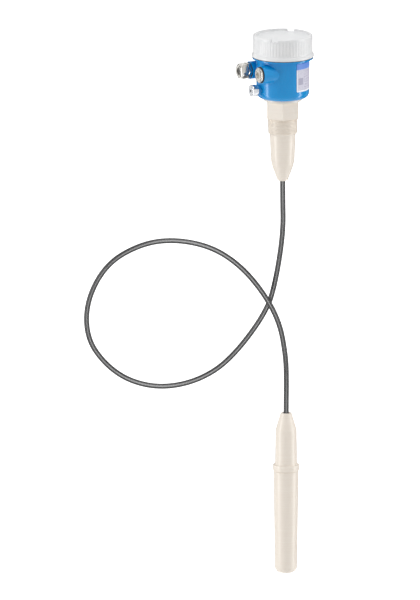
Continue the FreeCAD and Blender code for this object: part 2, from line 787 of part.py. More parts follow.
# Electronic insert: a potted puck on the posts, with wells for what it carries.
insert = new_body("electronic_insert")
led_x = S.earth_lug_reach - cavity_radius + S.led_from_lug
trimmer_x = led_x + S.trimmer_from_leds
switch_x = led_x + S.switch_from_leds
pin_radius = S.rod_radius - S.rod_pin_step
puck = new_sketch(insert, "XY_Plane", post_top)
draw_circle(puck, 0, 0, insert_radius)
puck_pad = padded(insert, puck, S.insert_height)
rounded(insert, puck_pad, insert_radius, insert_top, S.insert_edge_round)
pin_hole = new_sketch(insert, "XY_Plane", post_top)
draw_circle(pin_hole, 0, 0, pin_radius + S.fit_gap)
pocketed(insert, pin_hole, S.insert_pin_depth + S.moving_gap, along=True)
trimmer_hole = new_sketch(insert, "XY_Plane", insert_top)
draw_circle(trimmer_hole, trimmer_x, S.trimmer_y, S.trimmer_shaft_radius + S.running_gap)
pocketed(insert, trimmer_hole, S.trimmer_shaft_length + S.moving_gap)
switch_slot = new_sketch(insert, "XY_Plane", insert_top)
half_width = S.switch_width / 2 + S.moving_gap
draw_rectangle(
    switch_slot, switch_x - half_width, switch_x + half_width,
    S.switch_y - S.switch_length / 2 - S.moving_gap,
    S.switch_y + S.switch_length / 2 + S.switch_travel + S.moving_gap,
)
pocketed(insert, switch_slot, S.switch_depth)
led_holes = new_sketch(insert, "XY_Plane", insert_top)
for side in (-1, 1):
    draw_circle(led_holes, led_x, S.led_spacing / 2 * side, S.led_radius + S.running_gap)
pocketed(insert, led_holes, S.led_depth)
lug_notch = new_sketch(insert, "XY_Plane", insert_top)
notch_half = S.earth_lug_width / 2 + S.moving_gap
draw_rectangle(
    lug_notch, -(insert_radius + S.cut_margin),
    S.earth_lug_reach + S.moving_gap - cavity_radius, -notch_half, notch_half,
)
pocketed(insert, lug_notch, S.insert_height)
screw_hole = new_sketch(insert, "XY_Plane", insert_top)
draw_circle(screw_hole, post_circle_radius, 0, S.insert_screw_radius + S.fit_gap)
screw_pocket = pocketed(insert, screw_hole, S.insert_height)
repeated(insert, [screw_pocket], S.post_count)
turn_with_head(insert)

# Terminal block on the insert, open towards the cable entries.
block = new_body("terminal_block")
block_top = insert_top + S.block_height
block_width = 2 * (insert_radius - S.block_side_gap)
block_back = post_circle_radius - S.insert_screw_head_radius - S.block_screw_gap
block_face = block_back - S.block_depth
block_outline = new_sketch(block, "XZ_Plane", -block_width / 2)
draw_outline(block_outline, [
    (block_face, insert_top), (block_back, insert_top), (block_back, block_top),
    (block_face + S.block_chamfer, block_top), (block_face, block_top - S.block_chamfer),
])
padded(block, block_outline, block_width)
terminal_x = block_face + S.block_depth / 2
terminal_pitch = (block_width - 2 * S.block_edge) / S.terminal_count
wells = new_sketch(block, "XY_Plane", block_top)
wires = new_sketch(block, "YZ_Plane", block_face)
well_floor = block_top - S.terminal_screw_depth
for place in range(SIZES["terminal_count"]):
    terminal_y = terminal_pitch * (place - (SIZES["terminal_count"] - 1) / 2)
    draw_circle(wells, terminal_x, terminal_y, S.terminal_screw_radius + S.fit_gap)
    draw_circle(wires, terminal_y, insert_top + S.terminal_wire_radius * 2, S.terminal_wire_radius)
pocketed(block, wells, S.terminal_screw_depth)
pocketed(block, wires, S.block_depth / 2, along=True)
turn_with_head(block)


def screw(label, head_radius, head_height, shank_radius, shank_length):
    """A cheese-headed screw with a cross slot; its head's seat is at height 0."""
    head = doc.addObject("Part::Cylinder", f"{label}_head")
    bind(head, "Radius", head_radius)
    bind(head, "Height", head_height)
    shank = doc.addObject("Part::Cylinder", f"{label}_shank")
    bind(shank, "Radius", shank_radius)
    bind(shank, "Height", shank_length + head_height / 2)
    bind(shank, "Placement.Base.z", -shank_length)
    slot = doc.addObject("Part::Box", f"{label}_slot")
    bind(slot, "Length", head_radius * 4)
    bind(slot, "Width", head_radius / 3)
    bind(slot, "Height", head_height)
    bind(slot, "Placement.Base.x", -(head_radius * 2))
    bind(slot, "Placement.Base.y", -(head_radius / 6))
    bind(slot, "Placement.Base.z", head_height / 2)
    blank = doc.addObject("Part::Fuse", f"{label}_blank")
    blank.Base = head
    blank.Tool = shank
    result = doc.addObject("Part::Cut", f"{label}_slotted")
    result.Base = blank
    result.Tool = slot
    return result


def group(label, members):
    piece = doc.addObject("Part::Compound", label)
    piece.Label = label
    piece.Links = members
    pieces.append(piece)
    return piece


# Screws: three hold the insert, one clamps each wire, and one holds the inner earth wire.
insert_screws = []
for place in range(SIZES["post_count"]):
    around = Size(360 * place, str(360 * place)) / S.post_count
    member = screw(
        f"insert_{place}", S.insert_screw_head_radius, S.insert_screw_head_height,
        S.insert_screw_radius, S.insert_height + S.insert_screw_grip,
    )
    bind(member, "Placement.Base.x", post_circle_radius * cosine(around))
    bind(member, "Placement.Base.y", post_circle_radius * sine(around))
    bind(member, "Placement.Base.z", insert_top)
    insert_screws.append(member)
turn_with_head(group("insert_screws", insert_screws))

terminal_screws = []
for place in range(SIZES["terminal_count"]):
    member = doc.addObject("Part::Cylinder", f"terminal_{place}")
    bind(member, "Radius", S.terminal_screw_radius)
    bind(member, "Height", S.terminal_screw_height)
    slot = doc.addObject("Part::Box", f"terminal_{place}_slot")
    bind(slot, "Length", S.terminal_screw_radius * 4)
    bind(slot, "Width", S.terminal_screw_radius / 3)
    bind(slot, "Height", S.terminal_screw_height)
    bind(slot, "Placement.Base.x", -(S.terminal_screw_radius * 2))
    bind(slot, "Placement.Base.y", -(S.terminal_screw_radius / 6))
    bind(slot, "Placement.Base.z", S.terminal_screw_height * 0.7)
    slotted = doc.addObject("Part::Cut", f"terminal_{place}_screw")
    slotted.Base = member
    slotted.Tool = slot
    bind(slotted, "Placement.Base.x", terminal_x)
    bind(slotted, "Placement.Base.y", terminal_pitch * (place - (SIZES["terminal_count"] - 1) / 2))
    bind(slotted, "Placement.Base.z", well_floor)
    terminal_screws.append(slotted)
turn_with_head(group("terminal_screws", terminal_screws))

inner_earth = screw(
    "inner_earth", S.inner_earth_head_radius, S.inner_earth_head_height,
    S.inner_earth_shank_radius, S.inner_earth_shank_length,
)
bind(inner_earth, "Placement.Base.x", inner_earth_x)
bind(inner_earth, "Placement.Base.z", lug_top)
turn_with_head(group("inner_earth_screw", [inner_earth]))

# What is set or read on the insert.
trimmer = new_body("sensitivity_trimmer")
turned(trimmer, [
    (0, -S.trimmer_shaft_length), (S.trimmer_shaft_radius, -S.trimmer_shaft_length),
    (S.trimmer_shaft_radius, S.moving_gap), (S.trimmer_radius, S.moving_gap),
    (S.trimmer_radius, S.trimmer_height), (0, S.trimmer_height),
])
trimmer_slot = new_sketch(trimmer, "XY_Plane", S.trimmer_height)
draw_rectangle(
    trimmer_slot, -S.trimmer_radius * 0.8, S.trimmer_radius + S.cut_margin,
    -S.trimmer_slot_width / 2, S.trimmer_slot_width / 2,
)
pocketed(trimmer, trimmer_slot, S.trimmer_height / 3)

switch = new_body("failsafe_switch")
slider = new_sketch(switch, "XY_Plane", -(S.switch_depth - S.moving_gap))
draw_rectangle(
    slider, -S.switch_width / 2, S.switch_width / 2, -S.switch_length / 2, S.switch_length / 2
)
padded(switch, slider, S.switch_depth - S.moving_gap)
knob = new_sketch(switch, "XY_Plane")
draw_rectangle(
    knob, -S.switch_knob / 2, S.switch_knob / 2, -S.switch_knob / 2, S.switch_knob / 2
)
padded(switch, knob, S.switch_knob_height)


def seat_on_insert(piece, x, y):
    """Stands a piece on the insert, at a place that turns with the head."""
    piece.Placement = Placement(Vector(), Rotation(Vector(0, 0, 1), S.head_turn.number))
    bind(piece, "Placement.Rotation.Angle", S.head_turn)
    c, s = cosine(S.head_turn), sine(S.head_turn)
    bind(piece, "Placement.Base.x", x * c - y * s)
    bind(piece, "Placement.Base.y", x * s + y * c)
    bind(piece, "Placement.Base.z", insert_top)


seat_on_insert(trimmer, trimmer_x, S.trimmer_y)
seat_on_insert(switch, switch_x, S.switch_y)

leds = []
for side in (-1, 1):
    stem = doc.addObject("Part::Cylinder", f"led_stem_{side + 1}")
    bind(stem, "Radius", S.led_radius)
    bind(stem, "Height", S.led_depth + S.led_height - S.led_radius)
    bind(stem, "Placement.Base.z", -S.led_depth)
    dome = doc.addObject("Part::Sphere", f"led_dome_{side + 1}")
    bind(dome, "Radius", S.led_radius)
    bind(dome, "Placement.Base.z", S.led_height - S.led_radius)
    light = doc.addObject("Part::Fuse", f"led_{side + 1}")
    light.Base = stem
    light.Tool = dome
    bind(light, "Placement.Base.x", led_x)
    bind(light, "Placement.Base.y", S.led_spacing / 2 * side)
    bind(light, "Placement.Base.z", insert_top)
    leds.append(light)
turn_with_head(group("status_leds", leds))

# Conductor through the connection: a flanged rod, drawn up by its nut, with a contact pin.
rod = new_body("contact_rod")
rod_flange_radius = S.rod_radius + S.rod_flange_overhang
turned(rod, [
    (0, rod_bottom), (S.rod_radius, rod_bottom), (S.rod_radius, rod_flange_bottom),
    (rod_flange_radius, rod_flange_bottom), (rod_flange_radius, lower_spigot_end),
    (S.rod_radius, lower_spigot_end), (S.rod_radius, contact_nut_top),
    (pin_radius, contact_nut_top), (pin_radius, post_top + S.insert_pin_depth),
    (0, post_top + S.insert_pin_depth),
])
nut(
    "contact_nut", 2 * (rod_bore + S.contact_nut_wall), rod_bore,
    upper_spigot_top, S.contact_nut_height,
)

# Sleeve under the thread: it screws over the connection's lower spigot.
sleeve = new_body("probe_sleeve")
knee = sleeve_end + S.sleeve_taper_length
knee_radius = sleeve_top_radius - S.sleeve_draft
sleeve_end_radius = rope_recess_radius + S.sleeve_end_wall
sleeve_solid = turned(sleeve, [
    (0, nose_end), (sleeve_top_radius, nose_end), (knee_radius, knee),
    (sleeve_end_radius, sleeve_end), (0, sleeve_end),
])
knee_round = rounded(sleeve, sleeve_solid, knee_radius, knee, S.sleeve_knee_round)
rounded(sleeve, knee_round, sleeve_end_radius, sleeve_end, S.sleeve_end_round)
upper_ferrule_bottom = sleeve_end + S.ferrule_above_mouth
turned(sleeve, [
    (0, nose_end), (socket_radius, nose_end), (socket_radius, lower_spigot_end),
    (chamber_radius, lower_spigot_end), (chamber_radius, upper_ferrule_bottom),
    (rope_hole_radius, upper_ferrule_bottom - S.cut_margin),
    (rope_hole_radius, sleeve_end + S.rope_recess_depth),
    (rope_recess_radius, sleeve_end + S.rope_recess_depth), (rope_recess_radius, sleeve_end),
    (0, sleeve_end),
], cut=True)

# Ferrules: one joins the rope to the rod, the other joins it to the weight's core.
rope_top = sleeve_end + ROPE_ROUTE[0][2]
upper_ferrule = new_body("upper_ferrule")
turned(upper_ferrule, [
    (0, upper_ferrule_bottom), (ferrule_radius, upper_ferrule_bottom),
    (ferrule_radius, rod_flange_bottom), (0, rod_flange_bottom),
])
turned(upper_ferrule, [
    (0, rod_bottom - S.cut_margin), (rod_bore, rod_bottom - S.cut_margin),
    (rod_bore, rod_flange_bottom), (0, rod_flange_bottom),
], cut=True)
turned(upper_ferrule, [
    (0, upper_ferrule_bottom), (rope_socket, upper_ferrule_bottom), (rope_socket, rope_top),
    (0, rope_top),
], cut=True)

# Rope: straight runs joined by tangent arcs that are as large as the runs allow.
rope = doc.addObject("Part::Feature", "probe_rope")
rope.Label = "probe_rope"
pieces.append(rope)
route = [Vector(*point) for point in ROPE_ROUTE]
edges, radii, here = [], [], route[0]
for before, corner, after in zip(route, route[1:], route[2:]):
    back, ahead = (before - corner).normalize(), (after - corner).normalize()
    half_turn = (math.pi - back.getAngle(ahead)) / 2
    cut = 0.45 * min((before - corner).Length, (after - corner).Length)
    radius = cut / math.tan(half_turn)
    middle = (back + ahead).normalize()
    on_arc = corner + middle * (radius / math.cos(half_turn) - radius)
    start, end = corner + back * cut, corner + ahead * cut
    edges.append(Part.LineSegment(here, start).toShape())
    edges.append(Part.Arc(start, on_arc, end).toShape())
    radii.append(radius)
    here = end
edges.append(Part.LineSegment(here, route[-1]).toShape())
rope_path = Part.Wire(edges)
rope_section = Part.Wire([Part.Circle(route[0], route[1] - route[0], SIZES["rope_radius"]).toShape()])
rope.Shape = rope_path.makePipeShell([rope_section], True, False)
bind(rope, "Placement.Base.z", sleeve_end)

# Weight: its pieces are modelled downwards from the top of its sleeve.
weight_sleeve = new_body("weight_sleeve")
shoulder = -S.weight_sleeve_length
spigot_end = shoulder - S.weight_spigot_length
chamber_top = S.weight_chamber_head - S.lower_ferrule_top
weight_collar_radius = S.weight_body_radius + S.weight_collar_overhang
weight_cavity_radius = S.weight_body_radius - S.weight_wall
weight_spigot_radius = weight_cavity_radius - S.fit_gap
cone_top_radius = rope_recess_radius + S.cone_top_wall
sleeve_foot_radius = weight_collar_radius - S.weight_shoulder
flare_radius = sleeve_foot_radius + S.weight_sleeve_flare
cone = turned(weight_sleeve, [
    (0, 0), (cone_top_radius, 0), (sleeve_foot_radius - S.weight_sleeve_draft, -S.cone_length),
    (sleeve_foot_radius, shoulder + S.weight_sleeve_flare * 6),
    (flare_radius, shoulder), (weight_spigot_radius, shoulder),
    (weight_spigot_radius, spigot_end), (0, spigot_end),
])
rounded(weight_sleeve, cone, cone_top_radius, 0, S.sleeve_end_round)
turned(weight_sleeve, [
    (0, 0), (rope_recess_radius, 0), (rope_recess_radius, -S.rope_recess_depth),
    (rope_hole_radius, -S.rope_recess_depth), (rope_hole_radius, chamber_top),
    (chamber_radius, chamber_top - S.cut_margin),
    (chamber_radius, spigot_end), (0, spigot_end),
], cut=True)

lower_ferrule = new_body("lower_ferrule")
lower_bottom = -S.lower_ferrule_top - S.lower_ferrule_length
stud_end = spigot_end - S.lower_stud_grip
turned(lower_ferrule, [
    (rope_socket, -S.lower_ferrule_top), (ferrule_radius, -S.lower_ferrule_top),
    (ferrule_radius, lower_bottom), (S.lower_stud_radius, lower_bottom),
    (S.lower_stud_radius, stud_end), (0, stud_end),
    (0, -S.lower_ferrule_top - S.rope_grip), (rope_socket, -S.lower_ferrule_top - S.rope_grip),
])

core = new_body("weight_core")
core_top = spigot_end - S.core_top_gap
cavity_floor = shoulder - S.weight_body_length + S.weight_floor
stud_hole = S.lower_stud_radius + S.fit_gap
core_radius = weight_cavity_radius - S.fit_gap * 2
core_solid = turned(core, [
    (0, cavity_floor), (core_radius, cavity_floor), (core_radius, core_top),
    (stud_hole, core_top), (stud_hole, stud_end), (0, stud_end),
])
rounded(core, core_solid, core_radius, cavity_floor, S.core_chamfer, chamfer=True)

weight_body = new_body("weight_body")
weight_bottom = shoulder - S.weight_body_length
weight_end_radius = S.weight_body_radius - S.weight_draft
collar_end = shoulder - S.weight_collar_height
weight_solid = turned(weight_body, [
    (weight_cavity_radius, shoulder), (weight_collar_radius, shoulder),
    (weight_collar_radius, collar_end), (S.weight_body_radius, collar_end),
    (weight_end_radius, weight_bottom), (0, weight_bottom), (0, cavity_floor),
    (weight_cavity_radius, cavity_floor),
])
rounded(weight_body, weight_solid, weight_end_radius, weight_bottom, S.weight_foot_round)
weight_top = sleeve_end + ROPE_ROUTE[-1][2] + S.lower_ferrule_top + S.rope_grip
for piece in (weight_sleeve, lower_ferrule, core, weight_body):
    piece.Placement = Placement(Vector(ROPE_ROUTE[-1][0], ROPE_ROUTE[-1][1], 0), Rotation())
    bind(piece, "Placement.Base.z", weight_top)

doc.recompute()
faults = [item.Name for item in doc.Objects if {"Invalid", "Error"} & set(item.State)]
faults += [piece.Label for piece in pieces if piece.Shape.isNull() or not piece.Shape.isValid()]
if faults:
    raise RuntimeError(f"these objects failed: {faults}")
tube_volume = math.pi * SIZES["rope_radius"] ** 2 * rope_path.Length
print("rope length", round(rope_path.Length, 1), "radii", [round(radius) for radius in radii])
print("rope volume", round(rope.Shape.Volume), "against section times length", round(tube_volume))
os.makedirs("parts", exist_ok=True)
for piece in pieces:
    piece.Shape.exportStep(f"parts/{piece.Label}.step")
print(len(pieces), "pieces")
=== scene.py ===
"""Capacitive level switch with a rope probe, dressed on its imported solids.

Metres, Z up. The origin lies on the axis of the process thread, at the hexagon's lower face,
the rope's loop lies in the XZ plane, and the camera looks along +Y.
"""

import math

import bpy
from mathutils import Matrix, Vector


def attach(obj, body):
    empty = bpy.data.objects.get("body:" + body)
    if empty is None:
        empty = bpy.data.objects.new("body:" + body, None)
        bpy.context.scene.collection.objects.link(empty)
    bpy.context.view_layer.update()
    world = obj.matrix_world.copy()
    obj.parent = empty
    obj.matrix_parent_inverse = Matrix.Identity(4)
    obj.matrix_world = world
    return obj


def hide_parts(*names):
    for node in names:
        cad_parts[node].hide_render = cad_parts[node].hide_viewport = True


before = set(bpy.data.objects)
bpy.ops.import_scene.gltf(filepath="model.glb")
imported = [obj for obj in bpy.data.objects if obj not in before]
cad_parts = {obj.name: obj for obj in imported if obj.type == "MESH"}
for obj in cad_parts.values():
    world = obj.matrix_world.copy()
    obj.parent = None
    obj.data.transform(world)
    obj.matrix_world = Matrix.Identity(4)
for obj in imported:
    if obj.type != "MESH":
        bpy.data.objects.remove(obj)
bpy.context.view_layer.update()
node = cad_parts

# Camera: square to the rope's loop and 12.8 degrees above level, through a lens so long that
# near and far sides keep one scale. The height of the picture spans 0.955 m at the rope.
PICTURE_HEIGHT = 0.955
CAMERA_RISE = math.radians(12.8)
LENS_LENGTH = 1150
SENSOR_SIDE = 36
aim = Vector((-0.1155, 0, -0.2979))
camera = bpy.data.objects.new("camera", bpy.data.cameras.new("camera"))
bpy.context.scene.collection.objects.link(camera)
camera.data.lens = LENS_LENGTH
camera.data.sensor_width = SENSOR_SIDE
camera_distance = PICTURE_HEIGHT * LENS_LENGTH / SENSOR_SIDE
camera.location = aim + camera_distance * Vector((0, -math.cos(CAMERA_RISE), math.sin(CAMERA_RISE)))
camera.rotation_euler = (math.radians(90) - CAMERA_RISE, 0, 0)
camera.data.clip_end = 200
bpy.context.scene.camera = camera
bpy.context.scene.view_settings.view_transform = "Standard"

# Stage: a pale floor far below the hanging probe, under an even white studio. The camera and
# mirror-like rays see white, and the object is lit by the studio's softer part and by the lamps.
FLOOR_HEIGHT = -1.6
FLOOR_SIZE = 90
FLOOR_MIRRORED = 0.45
STUDIO_LIGHT = 0.62


def paint(red, green, blue):
    """A colour on the 0 to 255 scale of a screen, as the shader wants it."""
    def linear(value):
        value /= 255
        return value / 12.92 if value <= 0.04045 else ((value + 0.055) / 1.055) ** 2.4
    return (linear(red), linear(green), linear(blue), 1)


def new_finish(name, roughness, metallic=0.0):
    """A material, with its node tree, its shader and the piece's own coordinates."""
    finish = bpy.data.materials.new(name)
    finish.use_nodes = True
    tree = finish.node_tree
    shader = tree.nodes["Principled BSDF"]
    shader.inputs["Roughness"].default_value = roughness
    shader.inputs["Metallic"].default_value = metallic
    place = tree.nodes.new("ShaderNodeTexCoord").outputs["Object"]
    return finish, tree, shader, place


def reckoned(tree, operation, first, second, third=None):
    """A Math node's result, from numbers or from other nodes' results."""
    step = tree.nodes.new("ShaderNodeMath")
    step.operation = operation
    for socket, value in zip(step.inputs, (first, second, third)):
        if isinstance(value, (int, float)):
            socket.default_value = value
        elif value is not None:
            tree.links.new(value, socket)
    return step.outputs["Value"]


bpy.ops.object.select_all(action="DESELECT")
bpy.ops.mesh.primitive_plane_add(size=FLOOR_SIZE, location=(0, 0, FLOOR_HEIGHT))
floor = bpy.context.object
floor.name = "floor"
floor_paint, tree, shader, place = new_finish("floor_paint", 0.9)
shader.inputs["Base Color"].default_value = paint(238, 238, 238)
ray = tree.nodes.new("ShaderNodeLightPath").outputs
mirrored = reckoned(tree, "MAXIMUM", ray["Is Glossy Ray"], ray["Is Transmission Ray"])
strength = reckoned(tree, "MULTIPLY_ADD", mirrored, FLOOR_MIRRORED, ray["Is Camera Ray"])
glow = tree.nodes.new("ShaderNodeEmission")
glow.inputs["Color"].default_value = paint(255, 255, 255)
tree.links.new(strength, glow.inputs["Strength"])
both = tree.nodes.new("ShaderNodeAddShader")
tree.links.new(shader.outputs["BSDF"], both.inputs[0])
tree.links.new(glow.outputs["Emission"], both.inputs[1])
tree.links.new(both.outputs["Shader"], tree.nodes["Material Output"].inputs["Surface"])
floor.data.materials.append(floor_paint)

world = bpy.data.worlds.new("studio")
bpy.context.scene.world = world
world.use_nodes = True
tree = world.node_tree
tree.nodes.clear()
ray = tree.nodes.new("ShaderNodeLightPath").outputs
shows_white = reckoned(tree, "MAXIMUM", ray["Is Camera Ray"], ray["Is Glossy Ray"])
shows_white = reckoned(tree, "MAXIMUM", shows_white, ray["Is Transmission Ray"])
level = tree.nodes.new("ShaderNodeMapRange")
level.inputs["To Min"].default_value = STUDIO_LIGHT
level.inputs["To Max"].default_value = 1.0
tree.links.new(shows_white, level.inputs["Value"])
backdrop = tree.nodes.new("ShaderNodeBackground")
backdrop.inputs["Color"].default_value = paint(255, 255, 255)
tree.links.new(level.outputs["Result"], backdrop.inputs["Strength"])
world_output = tree.nodes.new("ShaderNodeOutputWorld")
tree.links.new(backdrop.outputs["Background"], world_output.inputs["Surface"])

# Lamps: a tall soft strip at each side and a wide one overhead. Four black cards beside and behind
# the object, which only mirror-like rays meet, draw the edges of whatever is glossy.
MIDDLE_HEIGHT = -0.3
CARD_DISTANCE = 2
CARD_HEIGHT = 2.8


def soft_lamp(name, watts, width, height, spot, target):
    """A rectangular lamp of this size in metres at a spot, turned to face its target."""
    lamp = bpy.data.objects.new(name, bpy.data.lights.new(name, "AREA"))
    bpy.context.scene.collection.objects.link(lamp)
    lamp.data.shape = "RECTANGLE"
    lamp.data.energy = watts
    lamp.data.size = width
    lamp.data.size_y = height
    lamp.location = spot
    lamp.rotation_euler = (Vector(target) - Vector(spot)).to_track_quat("-Z", "Y").to_euler()
    return lamp


soft_lamp("left_strip", 34, 0.5, 3.0, (-2.38, -0.77, MIDDLE_HEIGHT), (0, 0, MIDDLE_HEIGHT))
soft_lamp("right_strip", 33, 0.5, 3.0, (2.48, -0.3, MIDDLE_HEIGHT), (0, 0, MIDDLE_HEIGHT))
soft_lamp("top_light", 22, 1.8, 1.4, (0, -0.3, 2.5), (0, 0, 0))

card_paint, tree, shader, place = new_finish("black_card", 1.0)
shader.inputs["Base Color"].default_value = paint(8, 8, 8)
for card_name, turn, width in (
    ("left_side_card", -97, 0.8), ("left_back_card", -158, 1.3),
    ("right_side_card", 108, 1.3), ("right_back_card", 152, 1.3),
):
    angle = math.radians(turn)
    spot = Vector((CARD_DISTANCE * math.sin(angle), -CARD_DISTANCE * math.cos(angle), MIDDLE_HEIGHT))
    bpy.ops.object.select_all(action="DESELECT")
    bpy.ops.mesh.primitive_plane_add(size=1)
    card = bpy.context.object
    card.name = card_name
    card.scale = (width, CARD_HEIGHT, 1)
    card.location = spot
    card.rotation_euler = (Vector((0, 0, MIDDLE_HEIGHT)) - spot).to_track_quat("Z", "Y").to_euler()
    card.data.materials.append(card_paint)
    card.visible_camera = False
    card.visible_diffuse = False
    card.visible_shadow = False

# Process connection: one body of natural cream plastic, turned and milled, with a collar under
# the head, a hexagon for the wrench and a tapered pipe thread. The contact rod runs through it.
THREAD_RADIUS = 0.0239
THREAD_END = -0.0245
THREAD_TAPER = 1 / 32
THREAD_PITCH = 0.002309
THREAD_DEPTH = 0.0009
THREAD_TURNS = 13
THREAD_START = THREAD_PITCH * 0.9
RIDGE_FOOT = THREAD_PITCH * 0.94
RIDGE_CREST_SHARE = 0.16
RIDGE_ROOT_DEPTH = 0.0006
NOSE_END = -0.0275
NOSE_RADIUS = 0.0205
SPIGOT_END = -0.045
SPIGOT_RADIUS = 0.014
HEXAGON_HEIGHT = 0.028
HEXAGON_FLATS = 0.05
HEXAGON_CORNERS = 0.0292
HEXAGON_CHAMFER = 0.001
CORE_RADIUS = 0.018
COLLAR_TOP = 0.0325
COLLAR_RADIUS = 0.0305
COLLAR_EDGE = 0.0004
SEAL_GROOVE_OUTER = 0.0185
SEAL_GROOVE_INNER = 0.0155
SEAL_GROOVE_FLOOR = COLLAR_TOP - 0.00285
TOP_SPIGOT_RADIUS = 0.013
TOP_SPIGOT_END = 0.0465
ROD_HOLE_RADIUS = 0.0041
OVERLAP = 0.002
thread_tip = THREAD_RADIUS + THREAD_END * THREAD_TAPER


def mottled(tree, place, low, high, spots, detail=4.0):
    """Two colours mixed by soft noise, with this many spots to the metre."""
    noise = tree.nodes.new("ShaderNodeTexNoise")
    noise.inputs["Scale"].default_value = spots
    noise.inputs["Detail"].default_value = detail
    tree.links.new(place, noise.inputs["Vector"])
    ramp = tree.nodes.new("ShaderNodeValToRGB")
    ramp.color_ramp.elements[0].position = 0.3
    ramp.color_ramp.elements[1].position = 0.7
    ramp.color_ramp.elements[0].color = low
    ramp.color_ramp.elements[1].color = high
    tree.links.new(noise.outputs["Fac"], ramp.inputs["Fac"])
    return ramp.outputs["Color"]


def grain(tree, shader, place, spots, depth):
    """A fine relief of noise, with this many spots to the metre and this depth in metres."""
    noise = tree.nodes.new("ShaderNodeTexNoise")
    noise.inputs["Scale"].default_value = spots
    noise.inputs["Detail"].default_value = 3
    tree.links.new(place, noise.inputs["Vector"])
    bump = tree.nodes.new("ShaderNodeBump")
    bump.inputs["Distance"].default_value = depth
    tree.links.new(noise.outputs["Fac"], bump.inputs["Height"])
    tree.links.new(bump.outputs["Normal"], shader.inputs["Normal"])


def drawn_out(tree, place, stretch, spot=(0, 0, 0), turn=0.0):
    """Coordinates from a spot, turned about Z and drawn out, so that noise on them makes marks."""
    mapping = tree.nodes.new("ShaderNodeMapping")
    mapping.vector_type = "TEXTURE"
    mapping.inputs["Location"].default_value = spot
    mapping.inputs["Rotation"].default_value = (0, 0, turn)
    mapping.inputs["Scale"].default_value = stretch
    tree.links.new(place, mapping.inputs["Vector"])
    return mapping.outputs["Vector"]


def picked(piece):
    """Selects one piece alone and makes it the active one."""
    bpy.ops.object.select_all(action="DESELECT")
    piece.select_set(True)
    bpy.context.view_layer.objects.active = piece


def turned_piece(name, outline, steps=96):
    """A solid turned about Z: a disc, drawn out to each next radius and height in metres."""
    bpy.ops.object.select_all(action="DESELECT")
    radius, height = outline[0]
    bpy.ops.mesh.primitive_circle_add(vertices=steps, radius=radius, fill_type="NGON")
    piece = bpy.context.object
    piece.name = name
    bpy.ops.object.mode_set(mode="EDIT")
    bpy.ops.mesh.select_all(action="SELECT")
    bpy.ops.transform.translate(value=(0, 0, height))
    for next_radius, next_height in outline[1:]:
        bpy.ops.mesh.extrude_region_move(TRANSFORM_OT_translate={"value": (0, 0, next_height - height)})
        stretch = next_radius / radius
        bpy.ops.transform.resize(value=(stretch, stretch, 1), center_override=(0, 0, next_height))
        radius, height = next_radius, next_height
    bpy.ops.mesh.select_all(action="SELECT")
    bpy.ops.mesh.normals_make_consistent(inside=False)
    bpy.ops.object.mode_set(mode="OBJECT")
    return piece


def hexagon_bar(name, across_flats, bottom, top):
    """A hexagonal bar along Z, with two of its corners on the Y axis."""
    bpy.ops.object.select_all(action="DESELECT")
    bpy.ops.mesh.primitive_cylinder_add(
        vertices=6, radius=across_flats / math.sqrt(3), depth=top - bottom,
        location=(0, 0, (bottom + top) / 2),
    )
    bpy.ops.object.transform_apply(location=True, rotation=True, scale=True)
    bpy.context.object.name = name
    return bpy.context.object


def worked(piece, operation, tool):
    """Joins a tool to a piece, cuts the piece with it or trims it to it, and takes the tool away."""
    picked(piece)
    step = piece.modifiers.new("work", "BOOLEAN")
    step.operation = operation
    step.solver = "EXACT"
    step.object = tool
    bpy.ops.object.modifier_apply(modifier="work")
    bpy.data.objects.remove(tool)


def finished(piece, finish, slot, body, *replaced):
    """Smooths a new piece, gives it its finish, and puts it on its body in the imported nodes' place."""
    picked(piece)
    bpy.ops.object.shade_smooth_by_angle(angle=math.radians(30))
    piece.data.materials.clear()
    piece.data.materials.append(finish)
    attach(piece, body)
    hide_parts(*replaced)


cream, tree, shader, place = new_finish("cream_plastic", 0.3)
shader.inputs["Subsurface Weight"].default_value = 0.2
shader.inputs["Subsurface Radius"].default_value = (1, 1, 1)
shader.inputs["Subsurface Scale"].default_value = 0.002
lathe_marks = drawn_out(tree, place, (0.12, 0.12, 0.0016))
turned_cream = mottled(tree, lathe_marks, paint(232, 222, 210), paint(235, 227, 216), 1, 2)
tree.links.new(turned_cream, shader.inputs["Base Color"])
grain(tree, shader, drawn_out(tree, place, (0.1, 0.1, 0.0006)), 1, 0.00001)

bpy.ops.object.select_all(action="DESELECT")
bpy.ops.mesh.primitive_plane_add(size=1)
ridge = bpy.context.object
bpy.ops.object.mode_set(mode="EDIT")
bpy.ops.mesh.select_all(action="SELECT")
bpy.ops.transform.resize(value=(THREAD_DEPTH + RIDGE_ROOT_DEPTH, RIDGE_FOOT, 1))
bpy.ops.transform.rotate(value=math.radians(90), orient_axis="X", center_override=(0, 0, 0))
ridge_middle = THREAD_RADIUS - (THREAD_DEPTH + RIDGE_ROOT_DEPTH) / 2
bpy.ops.transform.translate(value=(ridge_middle, 0, THREAD_START))
bpy.ops.mesh.select_all(action="DESELECT")
bpy.ops.object.mode_set(mode="OBJECT")
for corner in ridge.data.vertices:
    corner.select = corner.co.x > ridge_middle
bpy.ops.object.mode_set(mode="EDIT")
bpy.ops.transform.resize(value=(1, 1, RIDGE_CREST_SHARE), center_override=(0, 0, THREAD_START))
bpy.ops.object.mode_set(mode="OBJECT")
winding = ridge.modifiers.new("winding", "SCREW")
winding.axis = "Z"
winding.angle = math.radians(360)
winding.screw_offset = -THREAD_PITCH
winding.iterations = THREAD_TURNS
winding.steps = 72
winding.render_steps = 72
bpy.ops.object.modifier_apply(modifier="winding")
bpy.ops.object.mode_set(mode="EDIT")
bpy.ops.mesh.select_all(action="SELECT")
bpy.ops.mesh.remove_doubles(threshold=0.00001)
bpy.ops.mesh.select_all(action="DESELECT")
